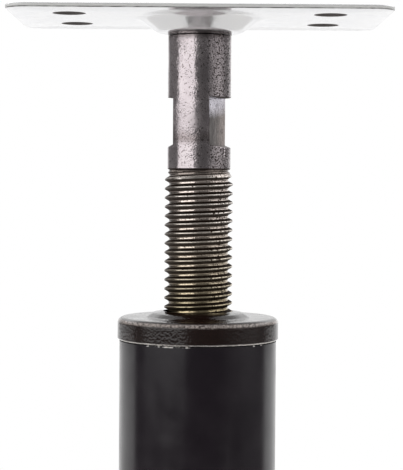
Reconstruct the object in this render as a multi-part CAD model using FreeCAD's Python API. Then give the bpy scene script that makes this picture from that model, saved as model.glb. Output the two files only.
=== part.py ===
import FreeCAD, Part
import math
import os

# Telescoping jack post, closed to its shortest height. Millimetres, +Z up.
# The origin is on the floor, on the axis of the post. The long side of the plates lies along X.

# Tubes: an upper tube slides over a lower tube
upper_tube_diameter = 73.0
upper_tube_wall = 2.1
upper_tube_length = 270.0
telescope_clearance = 0.9
lower_tube_wall = 2.1
lower_tube_length = 290.0
tube_edge_break = 0.6

# Support pin, and the row of cross holes in the lower tube
pin_diameter = 15.9
pin_hole_clearance = 0.4
first_hole_height = 56.0
hole_pitch = 50.8
hole_count = 4
pin_head_diameter = 25.0
pin_head_thickness = 7.0
pin_head_rounding = 1.5
pin_head_gap = 1.5
pin_tip_reach = 9.0
pin_tip_chamfer = 2.5
tube_rest_gap = 0.3

# Stamped plate, the same stamping at both ends of the post
plate_length = 171.0
plate_width = 100.0
plate_thickness = 1.9
plate_corner_radius = 10.0
plate_edge_rounding = 0.5
bolt_spacing_x = 117.5
bolt_spacing_y = 46.5
bolt_hole_diameter = 15.0
dish_depth = 6.4
dish_wall_angle = 52.0
dish_mouth_bend = 3.0
dish_floor_bend = 7.0
dish_seat_clearance = 0.4

# Jack screw: spigot, shank with two spanner flats, and a coarse V thread
spigot_diameter = 12.7
spigot_clearance = 0.3
head_diameter = 20.0
head_edge_height = 1.2
head_crown_height = 1.4
shank_length = 62.0
shank_edge_break = 0.5
flat_distance = 17.6
flat_top_drop = 28.6
flat_length = 22.0
flat_runout_angle = 15.0
flat_turn = 18.6
thread_diameter = 31.75
thread_pitch = 25.4 / 6
thread_flank_angle = 30.0
thread_depth_per_pitch = 0.5
crest_width_per_pitch = 0.125
rolled_blank_per_pitch = 0.57
first_crest_drop = 4.7
exposed_thread = 65.8
spare_thread = 30.0
screw_tip_chamfer = 3.0

# Thrust washer between the shank and the dish of the top plate
washer_thickness = 1.0
washer_overhang = 0.2
bearing_gap = 0.1

# Screw collar: flange on the tube's end, low crowned boss round the screw, plug inside the tube
collar_overhang = 0.9
collar_rim_height = 10.4
collar_rim_rounding = 2.8
collar_bottom_break = 0.6
boss_wall_rise = 2.0
boss_wall_width = 3.0
boss_crown_rise = 0.7
boss_crown_width = 5.0
boss_rounding = 3.0
plug_length = 16.0
plug_clearance = 0.3
plug_tip_chamfer = 1.5
thread_clearance = 0.3

# The lower tube slides in the upper tube's bore, and the rolled thread rises from a blank of the shank's size
lower_tube_diameter = upper_tube_diameter - 2 * upper_tube_wall - 2 * telescope_clearance
shank_diameter = thread_diameter - rolled_blank_per_pitch * thread_pitch

# Heights that follow from the sizes above, from the floor up
lower_tube_base = plate_thickness
pin_height = lower_tube_base + first_hole_height
upper_tube_base = pin_height + pin_diameter / 2 + tube_rest_gap
upper_tube_end = upper_tube_base + upper_tube_length
boss_top = upper_tube_end + collar_rim_height + boss_wall_rise + boss_crown_rise
shank_bottom = boss_top + exposed_thread
shank_top = shank_bottom + shank_length
washer_base = shank_top + bearing_gap
dish_floor = washer_base + washer_thickness + bearing_gap
top_face = dish_floor + dish_depth + plate_thickness

AXIS = FreeCAD.Vector(0, 0, 1)
ORIGIN = FreeCAD.Vector(0, 0, 0)


def turned(outline):
    """A solid of revolution about the post's axis, from (radius, height) points."""
    points = [FreeCAD.Vector(radius, 0, height) for radius, height in outline]
    face = Part.Face(Part.makePolygon(points + points[:1]))
    return face.revolve(ORIGIN, AXIS, 360)


def ring_edges(shape, radius, height):
    """The round edges of a shape that lie at one radius and height about the post's axis."""
    found = []
    for edge in shape.Edges:
        if not isinstance(edge.Curve, Part.Circle):
            continue
        centre = edge.Curve.Center
        on_axis = math.hypot(centre.x, centre.y) < 1e-6
        if on_axis and abs(edge.Curve.Radius - radius) < 1e-4 and abs(centre.z - height) < 1e-4:
            found.append(edge)
    return found


def rounded(shape, radius, height, rounding):
    """The shape with its round edge at that radius and height filleted."""
    return shape.makeFillet(rounding, ring_edges(shape, radius, height))


def stamped_plate():
    """Steel plate with its flat face at z = 0 and its dish pressed out upwards."""
    blank = Part.makeBox(plate_length, plate_width, plate_thickness)
    blank.translate(FreeCAD.Vector(-plate_length / 2, -plate_width / 2, 0))
    corners = [edge for edge in blank.Edges if abs(edge.tangentAt(edge.FirstParameter).z) > 0.5]
    blank = blank.makeFillet(plate_corner_radius, corners)
    flat_faces = [face for face in blank.Faces if abs(face.normalAt(0, 0).z) > 0.5]
    blank = blank.makeFillet(plate_edge_rounding, [edge for face in flat_faces for edge in face.Edges])

    angle = math.radians(dish_wall_angle)
    tube_bore = lower_tube_diameter / 2 - lower_tube_wall
    mouth = tube_bore - dish_seat_clearance - dish_mouth_bend * math.tan(angle / 2)
    floor = mouth - dish_depth / math.tan(angle)
    inset = plate_thickness * math.tan(angle / 2)
    dish_top = plate_thickness + dish_depth
    outside = Part.makeCone(mouth, floor, dish_depth, FreeCAD.Vector(0, 0, plate_thickness))
    inside = Part.makeCone(mouth - inset, floor - inset, dish_depth)
    plate = blank.fuse(outside).cut(inside).removeSplitter()

    plate = rounded(plate, mouth, plate_thickness, dish_mouth_bend)
    plate = rounded(plate, mouth - inset, 0, dish_mouth_bend + plate_thickness)
    plate = rounded(plate, floor, dish_top, dish_floor_bend + plate_thickness)
    plate = rounded(plate, floor - inset, dish_depth, dish_floor_bend)

    plate = plate.cut(Part.makeCylinder(spigot_diameter / 2 + spigot_clearance, dish_top))
    for side in (-1, 1):
        for end in (-1, 1):
            place = FreeCAD.Vector(end * bolt_spacing_x / 2, side * bolt_spacing_y / 2, 0)
            plate = plate.cut(Part.makeCylinder(bolt_hole_diameter / 2, plate_thickness, place))
    return plate


def base_plate():
    """The stamping as it lies on the floor, dish up inside the lower tube."""
    return stamped_plate()


def top_plate():
    """The same stamping turned over, dish down on the screw."""
    plate = stamped_plate()
    plate.rotate(ORIGIN, FreeCAD.Vector(1, 0, 0), 180)
    plate.translate(FreeCAD.Vector(0, 0, top_face))
    return plate


def tube(diameter, wall, length, base):
    """Round tube with its outer edges broken at both ends."""
    outer = diameter / 2
    bore = outer - wall
    end = base + length
    return turned([
        (bore, base),
        (outer - tube_edge_break, base),
        (outer, base + tube_edge_break),
        (outer, end - tube_edge_break),
        (outer - tube_edge_break, end),
        (bore, end),
    ])


def upper_tube():
    return tube(upper_tube_diameter, upper_tube_wall, upper_tube_length, upper_tube_base)


def lower_tube():
    """Lower tube with cross holes for the pin right through, along X."""
    body = tube(lower_tube_diameter, lower_tube_wall, lower_tube_length, lower_tube_base)
    hole_radius = pin_diameter / 2 + pin_hole_clearance
    for number in range(hole_count):
        start = FreeCAD.Vector(-lower_tube_diameter / 2, 0, pin_height + number * hole_pitch)
        body = body.cut(Part.makeCylinder(hole_radius, lower_tube_diameter, start, FreeCAD.Vector(1, 0, 0)))
    return body


def support_pin():
    """Round steel pin with an upset head at -X, through the lowest pair of holes."""
    under_head = upper_tube_diameter / 2 + pin_head_gap
    tip = upper_tube_diameter / 2 + pin_tip_reach
    pin = turned([
        (0, -under_head - pin_head_thickness),
        (pin_head_diameter / 2, -under_head - pin_head_thickness),
        (pin_head_diameter / 2, -under_head),
        (pin_diameter / 2, -under_head),
        (pin_diameter / 2, tip - pin_tip_chamfer),
        (pin_diameter / 2 - pin_tip_chamfer, tip),
        (0, tip),
    ])
    pin = rounded(pin, pin_head_diameter / 2, -under_head - pin_head_thickness, pin_head_rounding)
    pin.rotate(ORIGIN, FreeCAD.Vector(0, 1, 0), 90)
    pin.translate(FreeCAD.Vector(0, 0, pin_height))
    return pin


def screw_collar():
    """Forged collar: its plug fits in the upper tube, its flange rests on the tube's end."""
    tube_outer = upper_tube_diameter / 2
    rim = tube_outer + collar_overhang
    plug = tube_outer - upper_tube_wall - plug_clearance
    bore = thread_diameter / 2 + thread_clearance
    plug_end = upper_tube_end - plug_length
    shelf = upper_tube_end + collar_rim_height
    shoulder = bore + boss_crown_width
    shoulder_height = shelf + boss_wall_rise
    foot = shoulder + boss_wall_width
    collar = turned([
        (bore, plug_end),
        (plug - plug_tip_chamfer, plug_end),
        (plug, plug_end + plug_tip_chamfer),
        (plug, upper_tube_end),
        (rim - collar_bottom_break, upper_tube_end),
        (rim, upper_tube_end + collar_bottom_break),
        (rim, shelf),
        (foot, shelf),
        (shoulder, shoulder_height),
        (bore, boss_top),
    ])
    collar = rounded(collar, rim, shelf, collar_rim_rounding)
    collar = rounded(collar, foot, shelf, boss_rounding)
    return rounded(collar, shoulder, shoulder_height, boss_rounding)


def helix_turn(radius, height):
    """One right-hand turn of a helix at the thread's pitch, starting on the +X side."""
    turn = Part.makeHelix(thread_pitch, thread_pitch, radius).Edges[0]
    return turn.translated(AXIS * height)


def threaded_rod():
    """The threaded length of the screw, with a chamfered tip and a run-out below the shank.

    Ruled strips between helices make the flanks, crest and root of one turn. Copies of that turn, closed
    at both ends, are sewn into a solid that is longer than the thread and is then trimmed to its outline.
    """
    depth = thread_depth_per_pitch * thread_pitch
    flank = depth * math.tan(math.radians(thread_flank_angle))
    crest_width = crest_width_per_pitch * thread_pitch
    crest = thread_diameter / 2
    root = crest - depth
    profile = [
        (root, 0),
        (crest, flank),
        (crest, flank + crest_width),
        (root, 2 * flank + crest_width),
        (root, thread_pitch),
    ]

    first_crest = shank_bottom - first_crest_drop
    tip = shank_bottom - exposed_thread - (boss_top - upper_tube_end) - plug_length - spare_thread
    half_turn_up = first_crest + thread_pitch / 2 - flank - crest_width / 2
    start = half_turn_up - thread_pitch * (math.ceil((first_crest - tip) / thread_pitch) + 2)
    turns = math.ceil((shank_bottom - start) / thread_pitch) + 1

    rails = [helix_turn(radius, start + height) for radius, height in profile]
    strips = [Part.makeRuledSurface(low, high) for low, high in zip(rails, rails[1:])]
    faces = [strip.translated(AXIS * thread_pitch * turn) for turn in range(turns) for strip in strips]
    for height in (start, start + turns * thread_pitch):
        axis_line = Part.makeLine(AXIS * height, AXIS * (height + thread_pitch))
        faces.append(Part.makeRuledSurface(axis_line, helix_turn(root, height)))
        edge = [FreeCAD.Vector(radius, 0, height + rise) for radius, rise in profile]
        corners = [AXIS * height] + edge + [AXIS * (height + thread_pitch)]
        faces.append(Part.Face(Part.makePolygon(corners + corners[:1])))
    skin = Part.makeCompound(faces)
    skin.sewShape()
    rod = Part.makeSolid(skin.Shells[0])

    reach = crest + thread_clearance
    outline = turned([
        (0, tip),
        (crest - screw_tip_chamfer, tip),
        (reach, tip + screw_tip_chamfer + thread_clearance),
        (reach, shank_bottom - first_crest_drop),
        (root, shank_bottom),
        (0, shank_bottom),
    ])
    return rod.common(outline)


def spanner_flat_cutter():
    """Block that cuts one spanner flat, square at its upper end and sloped out at its lower end.

    The flat faces +X, turned clockwise from above by the flats' angle to the thread.
    """
    near = flat_distance / 2
    far = shank_diameter
    upper = shank_top - flat_top_drop
    lower = upper - flat_length
    runout = (far - near) * math.tan(math.radians(flat_runout_angle))
    corners = [(near, upper), (far, upper), (far, lower - runout), (near, lower)]
    points = [FreeCAD.Vector(x, -shank_diameter / 2, z) for x, z in corners]
    face = Part.Face(Part.makePolygon(points + points[:1]))
    block = face.extrude(FreeCAD.Vector(0, shank_diameter, 0))
    block.rotate(ORIGIN, AXIS, -flat_turn)
    return block


def jack_screw():
    """Screw with its spigot through the washer and the dish, and the spigot's end peened over."""
    spigot = spigot_diameter / 2
    shank = shank_diameter / 2
    head = head_diameter / 2
    head_base = dish_floor + plate_thickness + bearing_gap
    head_edge = head_base + head_edge_height
    body = turned([
        (0, head_edge),
        (head, head_edge),
        (head, head_base),
        (spigot, head_base),
        (spigot, shank_top),
        (shank - shank_edge_break, shank_top),
        (shank, shank_top - shank_edge_break),
        (shank, shank_bottom + shank_edge_break),
        (shank - shank_edge_break, shank_bottom),
        (0, shank_bottom),
    ])

    crown_radius = (head ** 2 + head_crown_height ** 2) / (2 * head_crown_height)
    crown_centre = FreeCAD.Vector(0, 0, head_edge + head_crown_height - crown_radius)
    crown = Part.makeSphere(crown_radius, crown_centre)
    crown = crown.common(Part.makeCylinder(head, head_crown_height, FreeCAD.Vector(0, 0, head_edge)))
    body = body.fuse(crown).fuse(threaded_rod())

    cutter = spanner_flat_cutter()
    opposite = cutter.copy()
    opposite.rotate(ORIGIN, AXIS, 180)
    return body.cut(cutter).cut(opposite)


def thrust_washer():
    """Thin steel washer that the dish of the top plate turns on."""
    outer = shank_diameter / 2 + washer_overhang
    bore = spigot_diameter / 2 + spigot_clearance
    end = washer_base + washer_thickness
    return turned([(bore, washer_base), (outer, washer_base), (outer, end), (bore, end)])


os.makedirs("parts", exist_ok=True)
pieces = [base_plate, lower_tube, support_pin, upper_tube, screw_collar, jack_screw, thrust_washer, top_plate]
for piece in pieces:
    piece().exportStep(f"parts/{piece.__name__}.step")
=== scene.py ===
import math

import bmesh
import bpy
from mathutils import Matrix, Vector


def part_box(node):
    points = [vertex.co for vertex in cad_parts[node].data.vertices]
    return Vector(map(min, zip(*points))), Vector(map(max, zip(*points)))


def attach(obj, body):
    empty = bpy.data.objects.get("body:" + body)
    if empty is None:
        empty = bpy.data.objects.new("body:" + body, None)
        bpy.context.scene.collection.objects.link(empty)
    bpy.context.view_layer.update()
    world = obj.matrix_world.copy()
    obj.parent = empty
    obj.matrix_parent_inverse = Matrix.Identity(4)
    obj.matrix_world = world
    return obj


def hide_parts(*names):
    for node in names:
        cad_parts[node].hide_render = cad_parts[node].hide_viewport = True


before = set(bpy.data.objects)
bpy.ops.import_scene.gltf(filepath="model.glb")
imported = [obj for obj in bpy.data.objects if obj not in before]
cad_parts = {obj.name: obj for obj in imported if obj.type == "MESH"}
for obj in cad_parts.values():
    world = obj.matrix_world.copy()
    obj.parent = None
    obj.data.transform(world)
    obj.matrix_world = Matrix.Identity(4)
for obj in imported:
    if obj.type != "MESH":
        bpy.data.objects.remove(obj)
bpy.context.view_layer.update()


# Base plate: mild steel sheet, blanked, dished and punched in a press, then zinc plated.
# It lies on the floor with its dish up, and the dish centres the lower tube that stands on it.
MM = 0.001


def linear(hex_colour):
    """The linear colour of an sRGB hex value."""
    channels = [int(hex_colour[start:start + 2], 16) / 255 for start in (1, 3, 5)]
    return tuple(c / 12.92 if c <= 0.04045 else ((c + 0.055) / 1.055) ** 2.4 for c in channels) + (1.0,)


def add(tree, kind, inputs=(), **settings):
    """Adds a node, with its settings, and with values or other nodes' outputs on its inputs."""
    made = tree.nodes.new(kind)
    for name, value in settings.items():
        setattr(made, name, value)
    for socket, value in dict(inputs).items():
        if isinstance(value, bpy.types.NodeSocket):
            tree.links.new(value, made.inputs[socket])
        else:
            made.inputs[socket].default_value = value
    return made


def new_material(name):
    """An empty node material, and its tree."""
    made = bpy.data.materials.new(name)
    made.use_nodes = True
    made.node_tree.nodes.clear()
    return made, made.node_tree


def dress(node, material):
    """Gives a carried-over node its finish."""
    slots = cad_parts[node].data.materials
    slots.clear()
    slots.append(material)


# Bright zinc: a pale, faintly blue mirror under a clear, cloudy film that scatters part of the light, so it
# is set a little short of full metal. Its sheared edges are matt, and the walls of its punched holes are
# painted dark as painted shade.
cloud_size = 14 * MM
haze_size = 3 * MM
line_width = 0.6 * MM
edge_margin = 5 * MM
zinc, tree = new_material("bright_zinc_plate")
place = add(tree, "ShaderNodeTexCoord").outputs["Object"]
clouds = add(tree, "ShaderNodeTexNoise",
             {"Vector": place, "Scale": 1 / cloud_size, "Detail": 5.0}).outputs["Fac"]
haze = add(tree, "ShaderNodeTexNoise",
           {"Vector": place, "Scale": 1 / haze_size, "Detail": 4.0}).outputs["Fac"]
# The rolling lines are drawn about three times as coarse as real ones.
along_sheet = add(tree, "ShaderNodeMapping",
                  {"Vector": place, "Scale": (0.02, 1.0, 1.0)}).outputs["Vector"]
lines = add(tree, "ShaderNodeTexNoise",
            {"Vector": along_sheet, "Scale": 1 / line_width, "Detail": 2.0}).outputs["Fac"]
coat = add(tree, "ShaderNodeMix", {"Factor": clouds, "A": linear("#eaebf0"), "B": linear("#f8f7f6")},
           data_type="RGBA").outputs["Result"]
# Only the sheared edges and the walls of the holes stand upright, and the holes lie inside the margin.
facing = add(tree, "ShaderNodeNewGeometry").outputs["Normal"]
upward = add(tree, "ShaderNodeSeparateXYZ", {"Vector": facing}).outputs["Z"]
flatness = add(tree, "ShaderNodeMath", {0: upward}, operation="ABSOLUTE").outputs["Value"]
sheared = add(tree, "ShaderNodeMapRange",
              {"Value": flatness, "From Min": 0.15, "From Max": 0.45, "To Min": 1.0, "To Max": 0.0}
              ).outputs["Result"]
half_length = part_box("base_plate")[1].x - edge_margin
half_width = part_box("base_plate")[1].y - edge_margin
sides = add(tree, "ShaderNodeSeparateXYZ", {"Vector": place}).outputs
off_x = add(tree, "ShaderNodeMath", {0: sides["X"], 1: 0.0, 2: half_length},
            operation="COMPARE").outputs["Value"]
off_y = add(tree, "ShaderNodeMath", {0: sides["Y"], 1: 0.0, 2: half_width},
            operation="COMPARE").outputs["Value"]
inside = add(tree, "ShaderNodeMath", {0: off_x, 1: off_y}, operation="MULTIPLY").outputs["Value"]
# The walls of the holes, inside the margin, get a dark colour: painted shade in the holes.
edges_with_hole_shade = add(tree, "ShaderNodeMix", {"Factor": inside, "A": linear("#fbfbfa"), "B": linear("#807b79")},
          data_type="RGBA").outputs["Result"]
trimmed = add(tree, "ShaderNodeMix", {"Factor": sheared, "A": coat, "B": edges_with_hole_shade},
              data_type="RGBA").outputs["Result"]
# The lower corner of the outer edge, where it turns downwards, is darker in ragged patches.
under_edge = add(tree, "ShaderNodeMapRange",
                 {"Value": upward, "From Min": -0.1, "From Max": -0.4}).outputs["Result"]
not_face = add(tree, "ShaderNodeMapRange",
               {"Value": upward, "From Min": -0.99, "From Max": -0.9}).outputs["Result"]
corner = add(tree, "ShaderNodeMath", {0: under_edge, 1: not_face}, operation="MULTIPLY").outputs["Value"]
outer = add(tree, "ShaderNodeMath", {0: 1.0, 1: inside}, operation="SUBTRACT").outputs["Value"]
rim = add(tree, "ShaderNodeMath", {0: corner, 1: outer}, operation="MULTIPLY").outputs["Value"]
ragged_patches = add(tree, "ShaderNodeMapRange",
           {"Value": haze, "From Min": 0.35, "From Max": 0.6, "To Min": 0.5}).outputs["Result"]
ragged_under_corner = add(tree, "ShaderNodeMath", {0: rim, 1: ragged_patches}, operation="MULTIPLY").outputs["Value"]
tint = add(tree, "ShaderNodeMix", {"Factor": ragged_under_corner, "A": trimmed, "B": linear("#4b4845")},
           data_type="RGBA").outputs["Result"]
gloss = add(tree, "ShaderNodeMapRange",
            {"Value": haze, "From Min": 0.3, "From Max": 0.7, "To Min": 0.12, "To Max": 0.22}
            ).outputs["Result"]
shine = add(tree, "ShaderNodeMix", {"Factor": sheared, "A": gloss, "B": 0.8}).outputs["Result"]
grain = add(tree, "ShaderNodeBump",
            {"Height": lines, "Strength": 0.2, "Distance": 0.005 * MM}).outputs["Normal"]
shader = add(tree, "ShaderNodeBsdfPrincipled",
             {"Base Color": tint, "Metallic": 0.75, "Roughness": shine, "Normal": grain})
add(tree, "ShaderNodeOutputMaterial", {"Surface": shader.outputs["BSDF"]})
dress("base_plate", zinc)


# Lower tube: welded steel tube with a row of drilled cross holes, standing on the base plate.
# It is painted black all over before it goes together.

# Satin black paint: a black with a trace of violet that shows broad, soft-edged reflections.
cloud_size = 12 * MM
peel_size = 1.5 * MM
black_paint, tree = new_material("satin_black_paint")
place = add(tree, "ShaderNodeTexCoord").outputs["Object"]
clouds = add(tree, "ShaderNodeTexNoise",
             {"Vector": place, "Scale": 1 / cloud_size, "Detail": 5.0}).outputs["Fac"]
peel = add(tree, "ShaderNodeTexNoise",
           {"Vector": place, "Scale": 1 / peel_size, "Detail": 2.0}).outputs["Fac"]
tint = add(tree, "ShaderNodeMix", {"Factor": clouds, "A": linear("#1a141b"), "B": linear("#221a22")},
           data_type="RGBA").outputs["Result"]
shine = add(tree, "ShaderNodeMapRange",
            {"Value": clouds, "From Min": 0.3, "From Max": 0.7, "To Min": 0.14, "To Max": 0.24}
            ).outputs["Result"]
skin = add(tree, "ShaderNodeBump",
           {"Height": peel, "Strength": 0.3, "Distance": 0.02 * MM}).outputs["Normal"]
shader = add(tree, "ShaderNodeBsdfPrincipled", {"Base Color": tint, "Roughness": shine, "Normal": skin})
add(tree, "ShaderNodeOutputMaterial", {"Surface": shader.outputs["BSDF"]})
dress("lower_tube", black_paint)


# Support pin: bright drawn bar with an upset head, pushed through the lowest pair of holes.
# The end of the upper tube rests on it.

# Turned steel: plain grey metal with fine rings from the lathe, drawn about ten times as coarse as real ones.
# A wave runs through 20 radians in one unit, so a unit of 8 mm puts the rings 2.5 mm apart.
smear_size = 6 * MM
ring_unit = 8 * MM
turned_steel, tree = new_material("plain_turned_steel")
place = add(tree, "ShaderNodeTexCoord").outputs["Object"]
smears = add(tree, "ShaderNodeTexNoise",
             {"Vector": place, "Scale": 1 / smear_size, "Detail": 4.0}).outputs["Fac"]
rings = add(tree, "ShaderNodeTexWave",
            {"Vector": place, "Scale": 1 / ring_unit, "Distortion": 0.4},
            bands_direction="X").outputs["Fac"]
tint = add(tree, "ShaderNodeMix", {"Factor": smears, "A": linear("#9a9896"), "B": linear("#b9b8b6")},
           data_type="RGBA").outputs["Result"]
shine = add(tree, "ShaderNodeMapRange",
            {"Value": smears, "To Min": 0.25, "To Max": 0.42}).outputs["Result"]
marks = add(tree, "ShaderNodeBump",
            {"Height": rings, "Strength": 0.3, "Distance": 0.01 * MM}).outputs["Normal"]
shader = add(tree, "ShaderNodeBsdfPrincipled",
             {"Base Color": tint, "Metallic": 1.0, "Roughness": shine, "Normal": marks})
add(tree, "ShaderNodeOutputMaterial", {"Surface": shader.outputs["BSDF"]})
dress("support_pin", turned_steel)


# Upper tube: the same painted tube one size larger, slid over the lower tube.
# Its paint is chipped along the edge under the collar, where the collar was driven in, most at one place.
tube_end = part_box("upper_tube")[1].z
chip_reach = 2.2 * MM
chip_drop = 0.8 * MM
flake_size = 3 * MM
struck_place = (-15.6 * MM, -33.0 * MM, tube_end)
struck_reach = 22 * MM
struck_core = 4 * MM
joint_height = 0.5 * MM
joint_fade = 0.2 * MM

# Chipped black paint: the same paint, with small flakes off it near the tube's end that show bright bare
# steel, and a dark, matt line of painted shadow in the joint under the collar.
chipped_paint = black_paint.copy()
chipped_paint.name = "chipped_black_paint"
tree = chipped_paint.node_tree
shader = tree.nodes["Principled BSDF"]
paint = shader.inputs["Base Color"].links[0].from_socket
satin = shader.inputs["Roughness"].links[0].from_socket
place = add(tree, "ShaderNodeTexCoord").outputs["Object"]
height = add(tree, "ShaderNodeSeparateXYZ", {"Vector": place}).outputs["Z"]
near_end = add(tree, "ShaderNodeMapRange",
               {"Value": height, "From Min": tube_end - chip_reach, "From Max": tube_end - chip_drop}
               ).outputs["Result"]
flakes = add(tree, "ShaderNodeTexNoise",
             {"Vector": place, "W": 3.0, "Scale": 1 / flake_size, "Detail": 4.0},
             noise_dimensions="4D").outputs["Fac"]
struck = add(tree, "ShaderNodeVectorMath", {0: place, 1: struck_place},
             operation="DISTANCE").outputs["Value"]
loosened = add(tree, "ShaderNodeMapRange",
               {"Value": struck, "From Min": struck_core, "From Max": struck_reach, "To Min": 0.06,
                "To Max": -0.06}).outputs["Result"]
flaking = add(tree, "ShaderNodeMath", {0: flakes, 1: loosened}, operation="ADD").outputs["Value"]
edge = add(tree, "ShaderNodeMath", {0: flaking, 1: near_end}, operation="MULTIPLY").outputs["Value"]
chips = add(tree, "ShaderNodeMapRange",
            {"Value": edge, "From Min": 0.57, "From Max": 0.61}).outputs["Result"]
# The dark line just under the tube's end is painted shadow in the joint under the collar.
joint_line = tube_end - joint_height
joint_shadow = add(tree, "ShaderNodeMapRange",
            {"Value": height, "From Min": joint_line - joint_fade, "From Max": joint_line}
            ).outputs["Result"]
joint_shadowed = add(tree, "ShaderNodeMix", {"Factor": joint_shadow, "A": paint, "B": linear("#080607")},
            data_type="RGBA").outputs["Result"]
tint = add(tree, "ShaderNodeMix", {"Factor": chips, "A": joint_shadowed, "B": linear("#e2dfdc")},
           data_type="RGBA").outputs["Result"]
dull = add(tree, "ShaderNodeMix", {"Factor": joint_shadow, "A": satin, "B": 0.9}).outputs["Result"]
shine = add(tree, "ShaderNodeMix", {"Factor": chips, "A": dull, "B": 0.5}).outputs["Result"]
for socket, value in (("Base Color", tint), ("Roughness", shine), ("Metallic", chips)):
    tree.links.new(value, shader.inputs[socket])
dress("upper_tube", chipped_paint)


# Screw collar: a steel forging, turned where it meets the tube and bored for the screw.
# Its plug is driven into the tube's end, and it is dipped in enamel.
rim_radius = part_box("screw_collar")[1].x
rim_rounding = 2.8 * MM
worn_edge = 0.6 * MM
wear_fade = 0.4 * MM
wear_fray = 0.5 * MM

# Brown-black enamel: glossy, with an orange-peel skin that breaks a reflection into small specks. It is
# scuffed pale round the rim's upper edge, where the pale specks also stand in for a painted highlight, and
# rubbed off along the lower edge, which shows as a bright line of steel.
cloud_size = 7 * MM
grit_size = 0.9 * MM
dimple_size = 1.0 * MM
enamel, tree = new_material("brown_black_enamel")
place = add(tree, "ShaderNodeTexCoord").outputs["Object"]
height = add(tree, "ShaderNodeSeparateXYZ", {"Vector": place}).outputs["Z"]
clouds = add(tree, "ShaderNodeTexNoise",
             {"Vector": place, "Scale": 1 / cloud_size, "Detail": 4.0}).outputs["Fac"]
grit = add(tree, "ShaderNodeTexNoise",
           {"Vector": place, "Scale": 1 / grit_size, "Detail": 3.0}).outputs["Fac"]
# The skin's dimples are drawn about twice as coarse as real ones.
dimples = add(tree, "ShaderNodeTexVoronoi",
              {"Vector": place, "Scale": 1 / dimple_size, "Smoothness": 0.6},
              feature="SMOOTH_F1").outputs["Distance"]
frayed = add(tree, "ShaderNodeMath", {0: clouds, 1: wear_fray, 2: height},
             operation="MULTIPLY_ADD").outputs["Value"]
wear_line = tube_end + worn_edge
rubbed = add(tree, "ShaderNodeMapRange",
             {"Value": frayed, "From Min": wear_line, "From Max": wear_line + wear_fade, "To Min": 1.0,
              "To Max": 0.0}).outputs["Result"]
glaze = add(tree, "ShaderNodeMix", {"Factor": clouds, "A": linear("#180c09"), "B": linear("#241410")},
            data_type="RGBA").outputs["Result"]
level = add(tree, "ShaderNodeVectorMath", {0: place, 1: (1, 1, 0)}, operation="MULTIPLY").outputs["Vector"]
radius = add(tree, "ShaderNodeVectorMath", {0: level}, operation="LENGTH").outputs["Value"]
facing = add(tree, "ShaderNodeNewGeometry").outputs["Normal"]
upward = add(tree, "ShaderNodeSeparateXYZ", {"Vector": facing}).outputs["Z"]
at_rim = add(tree, "ShaderNodeMath", {0: radius, 1: rim_radius - rim_rounding},
             operation="GREATER_THAN").outputs["Value"]
turned_up = add(tree, "ShaderNodeMapRange",
                {"Value": upward, "From Min": 0.1, "From Max": 0.35}).outputs["Result"]
not_top = add(tree, "ShaderNodeMapRange",
              {"Value": upward, "From Min": 0.6, "From Max": 0.8, "To Min": 1.0, "To Max": 0.0}
              ).outputs["Result"]
shoulder = add(tree, "ShaderNodeMath", {0: turned_up, 1: not_top}, operation="MULTIPLY").outputs["Value"]
rim_top = add(tree, "ShaderNodeMath", {0: shoulder, 1: at_rim}, operation="MULTIPLY").outputs["Value"]
# Pale specks round the rim's upper edge: scuffs and a painted highlight together.
pale_grit_specks = add(tree, "ShaderNodeMapRange",
              {"Value": grit, "From Min": 0.3, "From Max": 0.65}).outputs["Result"]
scuff_and_highlight = add(tree, "ShaderNodeMath", {0: rim_top, 1: pale_grit_specks}, operation="MULTIPLY").outputs["Value"]
coat = add(tree, "ShaderNodeMix", {"Factor": scuff_and_highlight, "A": glaze, "B": linear("#d0c4be")},
           data_type="RGBA").outputs["Result"]
tint = add(tree, "ShaderNodeMix", {"Factor": rubbed, "A": coat, "B": linear("#d2cdc9")},
           data_type="RGBA").outputs["Result"]
shine = add(tree, "ShaderNodeMapRange",
            {"Value": clouds, "From Min": 0.3, "From Max": 0.7, "To Min": 0.1, "To Max": 0.18}
            ).outputs["Result"]
skin = add(tree, "ShaderNodeBump",
           {"Height": dimples, "Strength": 0.6, "Distance": 0.12 * MM}).outputs["Normal"]
shader = add(tree, "ShaderNodeBsdfPrincipled",
             {"Base Color": tint, "Metallic": rubbed, "Roughness": shine, "Normal": skin})
add(tree, "ShaderNodeOutputMaterial", {"Surface": shader.outputs["BSDF"]})
dress("screw_collar", enamel)


# Jack screw: one steel bar, turned down at the top to a spigot that is peened over inside the dish, with
# two spanner flats milled into its shank and a coarse right-hand thread rolled below. Left bare and oiled.
thread_pitch = 25.4 / 6 * MM
crest_radius = 31.75 / 2 * MM
thread_depth = 0.5 * thread_pitch
root_radius = crest_radius - thread_depth
# The two widths and the shank's drop are shares of a pitch, and softness is a share of the thread's depth.
crest_width = 0.16
root_width = 0.297
shank_drop = 0.285
crest_softness = 0.06
root_softness = 0.1
first_crest_drop = 4.7 * MM
tip_chamfer = 3.0 * MM
shank_radius = crest_radius - shank_drop * thread_pitch
shank_length = 62.0 * MM
edge_break = 0.5 * MM
flat_half = 8.8 * MM
flat_drop = 28.6 * MM
flat_length = 22.0 * MM
flat_slope = math.tan(math.radians(15))
flat_turn = math.radians(18.6)
spigot_radius = 6.35 * MM
head_radius = 10.0 * MM
head_edge = 1.2 * MM
head_crown = 1.4 * MM
bearing_gap = 0.1 * MM

screw_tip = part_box("jack_screw")[0].z
head_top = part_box("jack_screw")[1].z
shank_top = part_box("thrust_washer")[0].z - bearing_gap
shank_bottom = shank_top - shank_length
thread_end = shank_bottom - first_crest_drop


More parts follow.
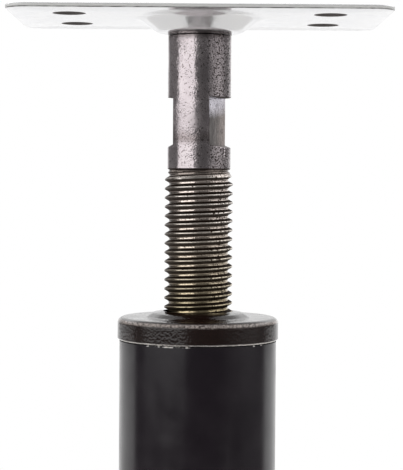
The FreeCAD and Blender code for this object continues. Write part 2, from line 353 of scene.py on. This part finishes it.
def thread_radius(share, height):
    """Radius of the thread at a share of one pitch, trimmed by the run-out above and the tip's chamfer."""
    from_root = 0.5 - abs(share - 0.5) - root_width / 2
    rise = from_root / (0.5 - crest_width / 2 - root_width / 2)
    soft_root = root_softness * math.log(1 + math.exp(rise / root_softness))
    blunt = 1 - crest_softness * math.log(1 + math.exp((1 - soft_root) / crest_softness))
    runout = root_radius + (shank_bottom - height) * thread_depth / first_crest_drop
    tip = crest_radius - tip_chamfer + height - screw_tip
    return min(root_radius + thread_depth * max(blunt, 0), runout, tip)


# The thread is one ribbon, a pitch tall, that winds round the axis and joins its own upper edge a turn later.
steps = 80
rows = 20
turns_down = math.ceil((thread_end - screw_tip) / thread_pitch) + 1
turns_up = math.ceil(first_crest_drop / thread_pitch) + 2
ribbon_start = thread_end - turns_down * thread_pitch
shape = bmesh.new()
ribbon = []
for step in range((turns_down + turns_up) * steps + 1):
    angle = 2 * math.pi * step / steps
    for row in range(rows):
        height = ribbon_start + thread_pitch * (step / steps + row / rows)
        radius = thread_radius(row / rows, height)
        ribbon.append(shape.verts.new((radius * math.cos(angle), radius * math.sin(angle), height)))
next_turn = rows * (steps - 1)
for corner in range(len(ribbon) - rows * (steps + 1)):
    above = corner + 1 if (corner + 1) % rows else corner + 1 + next_turn
    shape.faces.new([ribbon[corner], ribbon[corner + rows], ribbon[above + rows], ribbon[above]])
bmesh.ops.delete(shape, geom=[vert for vert in shape.verts if not vert.link_faces], context="VERTS")
for height, outward in ((screw_tip, -1), (shank_bottom, 1)):
    bmesh.ops.bisect_plane(shape, geom=shape.verts[:] + shape.edges[:] + shape.faces[:], clear_outer=True,
                           plane_co=(0, 0, height), plane_no=(0, 0, outward))
tip_edges = [edge for edge in shape.edges if edge.is_boundary and edge.verts[0].co.z < thread_end]
neck_edges = [edge for edge in shape.edges if edge.is_boundary and edge.verts[0].co.z > thread_end]
bmesh.ops.contextual_create(shape, geom=tip_edges)

# The shank is built in rings of (radius, height, half width across the flats), with columns on the edges of
# the flats.
runout_rows = 6
crown_rows = 6
face_columns = 24
merge_distance = 0.001 * MM
sharp_from = math.radians(40)
flat_angle = math.acos(flat_half / shank_radius)
flat_top = shank_top - flat_drop
flat_bottom = flat_top - flat_length
flat_depth = shank_radius - flat_half
runout_height = flat_depth * flat_slope
head_base = head_top - head_crown - head_edge
crown_radius = (head_radius ** 2 + head_crown ** 2) / (2 * head_crown)
round_bar = [(shank_radius - edge_break, shank_bottom), (shank_radius, shank_bottom + edge_break)]
flats = [(flat_bottom - runout_height * share, flat_half + flat_depth * share)
         for share in (1 - row / runout_rows for row in range(runout_rows + 1))] + [(flat_top, flat_half)]
peened_end = [(shank_radius, flat_top), (shank_radius, shank_top - edge_break),
              (shank_radius - edge_break, shank_top), (spigot_radius, shank_top),
              (spigot_radius, head_base), (head_radius, head_base)]
crown = [(reach, head_top - crown_radius + math.sqrt(crown_radius ** 2 - reach ** 2))
         for reach in (head_radius * (1 - row / crown_rows) for row in range(crown_rows))]
rings = [(radius, height, radius) for radius, height in round_bar]
rings += [(shank_radius, height, half_width) for height, half_width in flats]
rings += [(radius, height, radius) for radius, height in peened_end + crown]

columns = []
for centre, half in ((0.0, flat_angle), (0.5 * math.pi, 0.5 * math.pi - flat_angle)):
    columns += [centre - half + 2 * half * number / face_columns for number in range(face_columns)]
columns += [angle + math.pi for angle in columns]
clockwise = Matrix.Rotation(-flat_turn, 3, "Z")
lathe = []
for radius, height, half_width in rings:
    ring = []
    for angle in columns:
        across = max(-half_width, min(half_width, radius * math.cos(angle)))
        ring.append(shape.verts.new(clockwise @ Vector((across, radius * math.sin(angle), height))))
    lathe.append(ring)
for lower, upper in zip(lathe, lathe[1:]):
    for left in range(len(columns)):
        shape.faces.new((lower[left - 1], lower[left], upper[left], upper[left - 1]))
peak = shape.verts.new((0, 0, head_top))
for left in range(len(columns)):
    shape.faces.new((lathe[-1][left - 1], lathe[-1][left], peak))
collar_edges = [edge for edge in shape.edges if edge.is_boundary and edge not in neck_edges]
bmesh.ops.bridge_loops(shape, edges=neck_edges + collar_edges)
bmesh.ops.remove_doubles(shape, verts=shape.verts[:], dist=merge_distance)
bmesh.ops.recalc_face_normals(shape, faces=shape.faces[:])
screw_mesh = bpy.data.meshes.new("rolled_jack_screw")
shape.to_mesh(screw_mesh)
shape.free()
screw_mesh.shade_smooth()
screw_mesh.set_sharp_from_angle(angle=sharp_from)
rolled_screw = bpy.data.objects.new("rolled_jack_screw", screw_mesh)
bpy.context.scene.collection.objects.link(rolled_screw)

# Oiled steel: rolled so smooth that it mirrors the room, with patches of pits and black specks, painted shade
# under the plate, on the thread's flanks and on one side of the thread, yellow-brown oil towards the collar,
# and flats with painted shade below and a painted highlight at their upper ends, where a spanner also rubbed
# them.
cloud_size = 6 * MM
pit_size = 0.7 * MM
patch_size = 9 * MM
speck_size = 0.8 * MM
oiled_steel, tree = new_material("oiled_rolled_steel")
place = add(tree, "ShaderNodeTexCoord").outputs["Object"]
height = add(tree, "ShaderNodeSeparateXYZ", {"Vector": place}).outputs["Z"]
clouds = add(tree, "ShaderNodeTexNoise",
             {"Vector": place, "Scale": 1 / cloud_size, "Detail": 5.0}).outputs["Fac"]
pits = add(tree, "ShaderNodeTexNoise",
           {"Vector": place, "Scale": 1 / pit_size, "Detail": 1.0}).outputs["Fac"]
patches = add(tree, "ShaderNodeTexNoise",
              {"Vector": place, "W": 2.0, "Scale": 1 / patch_size, "Detail": 3.0},
              noise_dimensions="4D").outputs["Fac"]
specks = add(tree, "ShaderNodeTexNoise",
             {"Vector": place, "W": 1.0, "Scale": 1 / speck_size, "Detail": 2.0},
             noise_dimensions="4D").outputs["Fac"]
clean = add(tree, "ShaderNodeMix", {"Factor": clouds, "A": linear("#a39a9d"), "B": linear("#d0c7c9")},
            data_type="RGBA").outputs["Result"]

# A darker band with a ragged edge runs round the shank just above the lower end of the flats.
band_rise = 4.0 * MM
band_reach = 4.0 * MM
band_fray = 8 * MM
ragged = add(tree, "ShaderNodeMath", {0: patches, 1: band_fray, 2: height},
             operation="MULTIPLY_ADD").outputs["Value"]
off_band = add(tree, "ShaderNodeMath", {0: ragged, 1: flat_bottom + band_rise + band_fray / 2},
                operation="SUBTRACT").outputs["Value"]
band_gap = add(tree, "ShaderNodeMath", {0: off_band}, operation="ABSOLUTE").outputs["Value"]
dark_band = add(tree, "ShaderNodeMapRange",
            {"Value": band_gap, "From Max": band_reach, "To Min": 0.6, "To Max": 0.0}).outputs["Result"]
bare = add(tree, "ShaderNodeMix", {"Factor": dark_band, "A": clean, "B": linear("#6f6360")},
           data_type="RGBA").outputs["Result"]

# The thread is burnished, most on its crests, and oil thickens on it towards the collar.
climb_start = root_radius + 0.3 * thread_depth
climb_full = crest_radius - 0.2 * thread_depth
oil_full = shank_bottom - 65 * MM
oil_start = shank_bottom - 20 * MM
on_thread = add(tree, "ShaderNodeMath", {0: height, 1: shank_bottom}, operation="LESS_THAN").outputs["Value"]
level = add(tree, "ShaderNodeVectorMath", {0: place, 1: (1, 1, 0)}, operation="MULTIPLY").outputs["Vector"]
from_axis = add(tree, "ShaderNodeVectorMath", {0: level}, operation="LENGTH").outputs["Value"]
climb = add(tree, "ShaderNodeMapRange",
            {"Value": from_axis, "From Min": climb_start, "From Max": climb_full}).outputs["Result"]
burnished = add(tree, "ShaderNodeMix", {"Factor": climb, "A": linear("#eee0d7"), "B": linear("#fff6ee")},
                data_type="RGBA").outputs["Result"]
rolled = add(tree, "ShaderNodeMix", {"Factor": on_thread, "A": bare, "B": burnished},
             data_type="RGBA").outputs["Result"]
oil = add(tree, "ShaderNodeMapRange",
          {"Value": height, "From Min": oil_full, "From Max": oil_start, "To Min": 0.75, "To Max": 0.0}
          ).outputs["Result"]
stained = add(tree, "ShaderNodeMix", {"Factor": oil, "A": rolled, "B": linear("#c2b07c")},
              data_type="RGBA").outputs["Result"]

# Each flat is painted dark below as painted shade, with lengthwise scratches lighter towards its leading
# edge, and light at its upper end in a round-ended painted highlight off its trailing edge, where a spanner
# also rubbed it.
highlight_length = 9.5 * MM
highlight_width = 40.0 * MM
scratch_width = 0.7 * MM
plane_start = flat_half - 0.15 * MM
plane_full = flat_half - 0.05 * MM
flat_reach = math.sqrt(shank_radius ** 2 - flat_half ** 2)
across = add(tree, "ShaderNodeVectorMath", {0: place, 1: (math.cos(flat_turn), -math.sin(flat_turn), 0)},
             operation="DOT_PRODUCT").outputs["Value"]
along = add(tree, "ShaderNodeVectorMath", {0: place, 1: (math.sin(flat_turn), math.cos(flat_turn), 0)},
            operation="DOT_PRODUCT").outputs["Value"]
reach = add(tree, "ShaderNodeMath", {0: across}, operation="ABSOLUTE").outputs["Value"]
side = add(tree, "ShaderNodeMath", {0: across}, operation="SIGN").outputs["Value"]
on_plane = add(tree, "ShaderNodeMapRange",
               {"Value": reach, "From Min": plane_start, "From Max": plane_full}).outputs["Result"]
below_top = add(tree, "ShaderNodeMath", {0: height, 1: flat_top}, operation="LESS_THAN").outputs["Value"]
above_end = add(tree, "ShaderNodeMath", {0: height, 1: flat_bottom},
                operation="GREATER_THAN").outputs["Value"]
in_waist = add(tree, "ShaderNodeMath", {0: below_top, 1: above_end}, operation="MULTIPLY").outputs["Value"]
on_flat = add(tree, "ShaderNodeMath", {0: on_plane, 1: in_waist}, operation="MULTIPLY").outputs["Value"]
ahead = add(tree, "ShaderNodeMath", {0: along, 1: side}, operation="MULTIPLY").outputs["Value"]
highlight_across = add(tree, "ShaderNodeMapRange",
                 {"Value": ahead, "From Min": -flat_reach, "From Max": highlight_width - flat_reach},
                 clamp=False).outputs["Result"]
highlight_down = add(tree, "ShaderNodeMapRange",
               {"Value": height, "From Min": flat_top, "From Max": flat_top - highlight_length},
               clamp=False).outputs["Result"]
corner = add(tree, "ShaderNodeCombineXYZ", {"X": highlight_across, "Y": highlight_down}).outputs["Vector"]
away = add(tree, "ShaderNodeVectorMath", {0: corner}, operation="LENGTH").outputs["Value"]
frayed = add(tree, "ShaderNodeMath", {0: clouds, 1: 0.5, 2: away}, operation="MULTIPLY_ADD").outputs["Value"]
rub_highlight = add(tree, "ShaderNodeMapRange",
          {"Value": frayed, "From Min": 0.75, "From Max": 1.3, "To Min": 1.0, "To Max": 0.0}
          ).outputs["Result"]
lengthwise = add(tree, "ShaderNodeMapping",
                 {"Vector": place, "Scale": (1.0, 1.0, 0.3)}).outputs["Vector"]
scratches = add(tree, "ShaderNodeTexNoise",
                {"Vector": lengthwise, "Scale": 1 / scratch_width, "Detail": 2.0}).outputs["Fac"]
lighter_ahead = add(tree, "ShaderNodeMapRange",
             {"Value": ahead, "From Min": -flat_reach, "From Max": flat_reach, "To Min": -0.4,
              "To Max": 0.35}).outputs["Result"]
scraped = add(tree, "ShaderNodeMath", {0: scratches, 1: lighter_ahead}, operation="ADD").outputs["Value"]
scoured = add(tree, "ShaderNodeMapRange",
              {"Value": scraped, "From Min": 0.3, "From Max": 0.85}).outputs["Result"]
# The dark lower part of each flat is painted shade.
shaded_flat_tint = add(tree, "ShaderNodeMix", {"Factor": scoured, "A": linear("#3f3330"), "B": linear("#a89a94")},
                data_type="RGBA").outputs["Result"]
# The light round-ended patch at each flat's upper end is a painted highlight.
flat_tint = add(tree, "ShaderNodeMix", {"Factor": rub_highlight, "A": shaded_flat_tint, "B": linear("#dcd7e2")},
                data_type="RGBA").outputs["Result"]
metal = add(tree, "ShaderNodeMix", {"Factor": on_flat, "A": stained, "B": flat_tint},
            data_type="RGBA").outputs["Result"]

# Painted shade, dark and matt, on the slopes from the flats downwards, most on the thread's flanks, and on
# faces that turn downwards.
shoulder_line = flat_top + 0.1 * MM
facing = add(tree, "ShaderNodeNewGeometry").outputs["Normal"]
upward = add(tree, "ShaderNodeSeparateXYZ", {"Vector": facing}).outputs["Z"]
upper_flank = add(tree, "ShaderNodeMapRange",
                  {"Value": upward, "From Min": 0.57, "From Max": 0.83}).outputs["Result"]
lower_flank = add(tree, "ShaderNodeMapRange",
                  {"Value": upward, "From Min": -0.12, "From Max": -0.42, "To Max": 0.92}
                  ).outputs["Result"]
share = add(tree, "ShaderNodeMath", {0: on_thread, 1: 0.4, 2: 0.6}, operation="MULTIPLY_ADD").outputs["Value"]
upper_flank_shade = add(tree, "ShaderNodeMath", {0: upper_flank, 1: share}, operation="MULTIPLY").outputs["Value"]
flank_shade = add(tree, "ShaderNodeMath", {0: upper_flank_shade, 1: lower_flank}, operation="MAXIMUM").outputs["Value"]
under_shoulder = add(tree, "ShaderNodeMath", {0: height, 1: shoulder_line},
                     operation="LESS_THAN").outputs["Value"]
painted_flank_shade = add(tree, "ShaderNodeMath", {0: flank_shade, 1: under_shoulder}, operation="MULTIPLY").outputs["Value"]

# One side of the bar is weathered, with more specks and deeper pits, and its top is painted dark under the
# plate as painted shade.
weather_start = 7.5 * MM
weather_full = 11 * MM
shade_start = shank_top - 3 * MM
shade_full = shank_top - 1 * MM
weathered = add(tree, "ShaderNodeMapRange",
                {"Value": across, "From Min": weather_start, "From Max": weather_full}).outputs["Result"]
thick = add(tree, "ShaderNodeMath", {0: weathered, 1: 0.085, 2: specks},
            operation="MULTIPLY_ADD").outputs["Value"]
black = add(tree, "ShaderNodeMapRange",
            {"Value": thick, "From Min": 0.6, "From Max": 0.68}).outputs["Result"]
# Painted shade at the top of the shank, under the plate.
shade_under_plate = add(tree, "ShaderNodeMapRange",
                  {"Value": height, "From Min": shade_start, "From Max": shade_full, "To Max": 0.6}
                  ).outputs["Result"]
marks = add(tree, "ShaderNodeMath", {0: black, 1: shade_under_plate}, operation="MAXIMUM").outputs["Value"]

# The thread is painted darker on the other side, as painted shade, and is darker on its run-out under the
# shank.
shade_side_start = -3.5 * MM
shade_side_full = -8 * MM
runout_dark_start = shank_bottom - 4.5 * MM
runout_dark_full = shank_bottom - 1.5 * MM
shaded_side = add(tree, "ShaderNodeMapRange",
                  {"Value": across, "From Min": shade_side_start, "From Max": shade_side_full, "To Max": 0.82}
                  ).outputs["Result"]
runout_dark = add(tree, "ShaderNodeMapRange",
             {"Value": height, "From Min": runout_dark_start, "From Max": runout_dark_full, "To Max": 0.75}
             ).outputs["Result"]
side_and_runout_dark = add(tree, "ShaderNodeMath", {0: shaded_side, 1: runout_dark}, operation="MAXIMUM").outputs["Value"]
on_turns = add(tree, "ShaderNodeMath", {0: side_and_runout_dark, 1: on_thread}, operation="MULTIPLY").outputs["Value"]
thread_darkening = add(tree, "ShaderNodeMath", {0: painted_flank_shade, 1: on_turns}, operation="MAXIMUM").outputs["Value"]
specks_and_darkening = add(tree, "ShaderNodeMath", {0: marks, 1: thread_darkening}, operation="MAXIMUM").outputs["Value"]
# One dark brown covers the real black specks and all the painted shade and darkening above.
tint = add(tree, "ShaderNodeMix", {"Factor": specks_and_darkening, "A": metal, "B": linear("#34271f")},
           data_type="RGBA").outputs["Result"]

# The jaws that rubbed the flats also dulled the round face between them, most at its middle.
waist_middle = (flat_top + flat_bottom) / 2
jaw_full = 2 * MM
jaw_end = 0.55 * flat_length
shine = add(tree, "ShaderNodeMapRange",
            {"Value": clouds, "From Min": 0.3, "From Max": 0.7, "To Min": 0.08, "To Max": 0.2}
            ).outputs["Result"]
dull_flat = add(tree, "ShaderNodeMapRange",
                {"Value": rub_highlight, "To Min": 0.33, "To Max": 0.15}).outputs["Result"]
off_waist = add(tree, "ShaderNodeMath", {0: height, 1: waist_middle}, operation="SUBTRACT").outputs["Value"]
waist_gap = add(tree, "ShaderNodeMath", {0: off_waist}, operation="ABSOLUTE").outputs["Value"]
jaw_wear = add(tree, "ShaderNodeMapRange",
               {"Value": waist_gap, "From Min": jaw_full, "From Max": jaw_end, "To Min": 0.12,
                "To Max": 0.0}).outputs["Result"]
handled = add(tree, "ShaderNodeMath", {0: shine, 1: jaw_wear}, operation="ADD").outputs["Value"]
worn = add(tree, "ShaderNodeMix", {"Factor": on_flat, "A": handled, "B": dull_flat}).outputs["Result"]
matt = add(tree, "ShaderNodeMix", {"Factor": painted_flank_shade, "A": worn, "B": 0.8}).outputs["Result"]
pitted = add(tree, "ShaderNodeMapRange",
             {"Value": patches, "From Min": 0.4, "From Max": 0.65, "To Min": 0.15, "To Max": 0.8}
             ).outputs["Result"]
eaten = add(tree, "ShaderNodeMath", {0: pitted, 1: weathered}, operation="MAXIMUM").outputs["Value"]
dents = add(tree, "ShaderNodeBump",
            {"Height": clouds, "Strength": 1.0, "Distance": 0.35 * MM}).outputs["Normal"]
skin = add(tree, "ShaderNodeBump",
           {"Height": pits, "Strength": eaten, "Distance": 0.18 * MM, "Normal": dents}).outputs["Normal"]
shader = add(tree, "ShaderNodeBsdfPrincipled",
             {"Base Color": tint, "Metallic": 1.0, "Roughness": matt, "Normal": skin})
add(tree, "ShaderNodeOutputMaterial", {"Surface": shader.outputs["BSDF"]})
screw_mesh.materials.append(oiled_steel)
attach(rolled_screw, "screw")
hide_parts("jack_screw")


# Thrust washer: a thin disc punched from steel strip, loose on the spigot between the shank and the dish.
# The plate turns on it, and it is as oily as the screw.
dress("thrust_washer", oiled_steel)


# Top plate: the base plate's stamping turned over, riveted to the screw by its peened spigot.
# The press draws its dish from the flat sheet in a wide bend, a sloping wall and a tighter bend round its
# floor.
plate_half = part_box("top_plate")[1].xy
sheet_thickness = 1.9 * MM
corner_radius = 10.0 * MM
edge_rounding = 0.5 * MM
bolt_half = Vector((58.75, 23.25)) * MM
bolt_hole_radius = 7.5 * MM
mouth_radius = 31.0 * MM
dish_depth = 6.4 * MM
mouth_bend = 8.0 * MM
floor_bend = 5.0 * MM
wall_slope = math.radians(36)
spigot_clearance = 0.3 * MM
spigot_hole_radius = spigot_radius + spigot_clearance
sheet_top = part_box("top_plate")[1].z
sheet_bottom = sheet_top - sheet_thickness
quarters = ((1, 1), (-1, 1), (-1, -1), (1, -1))
bend_rows = 14
edge_rows = 4
hole_points = 48
dish_points = 96
level_gap = 0.01 * MM
flat_from = 0.99999


def circle(radius, count, centre=(0, 0)):
    """Points round a circle."""
    angles = [2 * math.pi * number / count for number in range(count)]
    return [(centre[0] + radius * math.cos(angle), centre[1] + radius * math.sin(angle)) for angle in angles]


def outline(inset):
    """Points round the plate, its corners rounded, at a distance inside its edge."""
    points = []
    for quarter, (end, side) in enumerate(quarters):
        centre = (end * (plate_half.x - corner_radius), side * (plate_half.y - corner_radius))
        arc = circle(corner_radius - inset, 4 * bend_rows, centre)
        points += [arc[(quarter * bend_rows + row) % len(arc)] for row in range(bend_rows + 1)]
    return points


def face_of_dish(bend, level):
    """Radius and height along one face of the dish, from its mouth in the sheet to its floor."""
    arc_sum = mouth_bend + floor_bend
    wall_length = (dish_depth - arc_sum * (1 - math.cos(wall_slope))) / math.sin(wall_slope)
    floor_radius = mouth_radius - arc_sum * math.sin(wall_slope) - wall_length * math.cos(wall_slope)
    floor_arc = arc_sum - bend
    floor_level = level - dish_depth
    slopes = [wall_slope * row / bend_rows for row in range(bend_rows + 1)]
    mouth = [(mouth_radius - bend * math.sin(slope), level - bend * (1 - math.cos(slope)))
             for slope in slopes]
    floor = [(floor_radius + floor_arc * math.sin(slope), floor_level + floor_arc * (1 - math.cos(slope)))
             for slope in reversed(slopes)]
    return mouth + floor


# Each wall of the sheet is a list of (points, height) from its lower face to its upper face: its rounded
# edge, its bolt holes, and its dish with the spigot's hole. The two flat faces are then filled in between.
turns = [0.5 * math.pi * row / edge_rows for row in range(edge_rows + 1)]
lower_edge = [(edge_rounding * (1 - math.sin(turn)), edge_rounding * (1 - math.cos(turn))) for turn in turns]
upper_edge = [(inset, sheet_thickness - rise) for inset, rise in reversed(lower_edge)]
walls = [[(outline(inset), sheet_bottom + rise) for inset, rise in lower_edge + upper_edge]]
for end, side in quarters:
    hole = circle(bolt_hole_radius, hole_points, (end * bolt_half.x, side * bolt_half.y))
    walls.append([(hole, sheet_bottom), (hole, sheet_top)])
dish = face_of_dish(mouth_bend, sheet_bottom)
dish += [(spigot_hole_radius, sheet_bottom - dish_depth), (spigot_hole_radius, sheet_top - dish_depth)]
dish += reversed(face_of_dish(mouth_bend + sheet_thickness, sheet_top))
walls.append([(circle(radius, dish_points), height) for radius, height in dish])
shape = bmesh.new()
for wall in walls:
    loops = [[shape.verts.new((x, y, height)) for x, y in points] for points, height in wall]
    for lower, upper in zip(loops, loops[1:]):
        for left in range(len(lower)):
            shape.faces.new((lower[left - 1], lower[left], upper[left], upper[left - 1]))
for level in (sheet_bottom, sheet_top):
    rims = [edge for edge in shape.edges
            if edge.is_boundary and abs(edge.verts[0].co.z - level) < level_gap]
    bmesh.ops.triangle_fill(shape, edges=rims, use_beauty=True, normal=(0, 0, 1))
bmesh.ops.recalc_face_normals(shape, faces=shape.faces[:])
for face in shape.faces:
    face.smooth = abs(face.normal.z) < flat_from
plate_mesh = bpy.data.meshes.new("stamped_top_plate")
shape.to_mesh(plate_mesh)
shape.free()
plate_mesh.set_sharp_from_angle(angle=sharp_from)
plate_mesh.materials.append(zinc)
stamped_plate = bpy.data.objects.new("stamped_top_plate", plate_mesh)
bpy.context.scene.collection.objects.link(stamped_plate)
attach(stamped_plate, "head_plate")
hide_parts("top_plate")


# Studio: a pale floor and a white sweep behind the post, one tall softbox on the left, a panel overhead, and
# a dim room on the camera's side, which leaves the dark bands that the photograph shows on the steel.
floor_half = 1.0
floor_mesh = bpy.data.meshes.new("floor")
floor_mesh.from_pydata([(-floor_half, -floor_half, 0), (floor_half, -floor_half, 0),
                        (floor_half, floor_half, 0), (-floor_half, floor_half, 0)], [], [(0, 1, 2, 3)])
floor = bpy.data.objects.new("floor", floor_mesh)
bpy.context.scene.collection.objects.link(floor)

# Pale floor: a smooth off-white with broad, faint clouds.
cloud_size = 80 * MM
pale_floor, tree = new_material("pale_floor")
place = add(tree, "ShaderNodeTexCoord").outputs["Object"]
clouds = add(tree, "ShaderNodeTexNoise",
             {"Vector": place, "Scale": 1 / cloud_size, "Detail": 3.0}).outputs["Fac"]
tint = add(tree, "ShaderNodeMix", {"Factor": clouds, "A": linear("#f2f1ef"), "B": linear("#f6f5f3")},
           data_type="RGBA").outputs["Result"]
shader = add(tree, "ShaderNodeBsdfPrincipled", {"Base Color": tint, "Roughness": 0.6})
add(tree, "ShaderNodeOutputMaterial", {"Surface": shader.outputs["BSDF"]})
floor_mesh.materials.append(pale_floor)

# Light round the horizon by compass angle in degrees, 0 towards the camera and 90 to the right, in three
# rings. The ranges give the height at which one ring goes over into the next, and then into the panel.
softbox_light = 1.1
sweep_light = 0.76
far_sweep_light = 0.64
back_light = 1.35
side_light = 0.42
dim_light = 0.15
left_light = 0.12
room_light = 0.085
ceiling_light = 0.72
light_scale = 1.5
low_range = (-0.10, -0.08)
high_range = (0.3, 0.45)
ceiling_range = (0.5, 0.65)
panel_range = (-0.7, 0.2)
high_ring = [(-125, back_light), (-105, room_light), (36, room_light), (60, 0.8 * back_light),
             (125, back_light)]
ring = [(-164, sweep_light), (-142, dim_light), (-88, dim_light), (-77, softbox_light), (-19, softbox_light),
        (-15, 2 * room_light), (8, room_light), (32, room_light), (62, side_light), (88, side_light),
        (102, dim_light), (134, dim_light), (152, sweep_light)]
low_ring = [(-168, far_sweep_light), (-158, sweep_light), (-107, sweep_light), (-100, left_light),
            (-8, room_light), (62, room_light), (72, dim_light), (110, dim_light), (120, sweep_light),
            (158, sweep_light), (168, far_sweep_light)]

world = bpy.data.worlds.new("studio")
bpy.context.scene.world = world
world.use_nodes = True
tree = world.node_tree
tree.nodes.clear()
way = add(tree, "ShaderNodeTexCoord").outputs["Generated"]
parts = add(tree, "ShaderNodeSeparateXYZ", {"Vector": way}).outputs
towards_camera = add(tree, "ShaderNodeMath", {0: parts["Y"], 1: -1.0}, operation="MULTIPLY").outputs["Value"]
compass = add(tree, "ShaderNodeMath", {0: parts["X"], 1: towards_camera},
              operation="ARCTAN2").outputs["Value"]
turn = add(tree, "ShaderNodeMapRange",
           {"Value": compass, "From Min": -math.pi, "From Max": math.pi}).outputs["Result"]
bands = []
for stops in (high_ring, ring, low_ring):
    ramp = add(tree, "ShaderNodeValToRGB", {"Fac": turn})
    elements = ramp.color_ramp.elements
    elements.remove(elements[1])
    elements[0].position = 0.0
    elements[0].color = (stops[0][1], stops[0][1], stops[0][1], 1)
    for angle, level in stops:
        elements.new((angle + 180) / 360).color = (level, level, level, 1)
    bands.append(ramp.outputs["Color"])
rise = add(tree, "ShaderNodeMapRange",
           {"Value": parts["Z"], "From Min": low_range[0], "From Max": low_range[1]}).outputs["Result"]
sides = add(tree, "ShaderNodeMix", {"Factor": rise, "A": bands[2], "B": bands[1]},
            data_type="RGBA").outputs["Result"]
overhead = add(tree, "ShaderNodeMapRange",
               {"Value": parts["Z"], "From Min": high_range[0], "From Max": high_range[1]}
               ).outputs["Result"]
slant = add(tree, "ShaderNodeMix", {"Factor": overhead, "A": sides, "B": bands[0]},
            data_type="RGBA").outputs["Result"]
panel = add(tree, "ShaderNodeMapRange",
            {"Value": parts["Y"], "From Min": panel_range[0], "From Max": panel_range[1],
             "To Min": room_light, "To Max": ceiling_light}).outputs["Result"]
ceiling = add(tree, "ShaderNodeMapRange",
              {"Value": parts["Z"], "From Min": ceiling_range[0], "From Max": ceiling_range[1]}
              ).outputs["Result"]
lit = add(tree, "ShaderNodeMix", {"Factor": ceiling, "A": slant, "B": panel},
          data_type="RGBA").outputs["Result"]
room = add(tree, "ShaderNodeBackground", {"Color": lit, "Strength": light_scale}).outputs["Background"]
white = add(tree, "ShaderNodeBackground", {"Color": (1, 1, 1, 1)}).outputs["Background"]
seen = add(tree, "ShaderNodeLightPath").outputs["Is Camera Ray"]
shown = add(tree, "ShaderNodeMixShader", {0: seen, 1: room, 2: white}).outputs["Shader"]
add(tree, "ShaderNodeOutputWorld", {"Surface": shown})
bpy.context.scene.view_settings.view_transform = "Standard"


# Camera: nearly level, a little below the plate, about 0.75 m away.
# Rows and columns are pixels of the photograph's frame, and the scale holds at the post's axis.
photo_width = 403
photo_height = 470
focal_px = 1600.0
sensor = 36.0
scale_at_axis = 0.4655 * MM
horizon_row = 184.0
plate_row = 20.1
axis_column = 198.5
roll = math.radians(0.4)
distance = focal_px * scale_at_axis
eye_side = (photo_width / 2 - axis_column) * scale_at_axis
eye_height = sheet_bottom - (horizon_row - plate_row) * scale_at_axis
tilt = math.atan((photo_height / 2 - horizon_row) / focal_px)
camera_data = bpy.data.cameras.new("camera")
camera_data.sensor_width = sensor
camera_data.lens = focal_px * sensor / photo_height
camera = bpy.data.objects.new("camera", camera_data)
bpy.context.scene.collection.objects.link(camera)
camera.matrix_world = (Matrix.Translation((eye_side, -distance, eye_height))
                       @ Matrix.Rotation(math.pi / 2 - tilt, 4, "X") @ Matrix.Rotation(roll, 4, "Z"))
bpy.context.scene.camera = camera
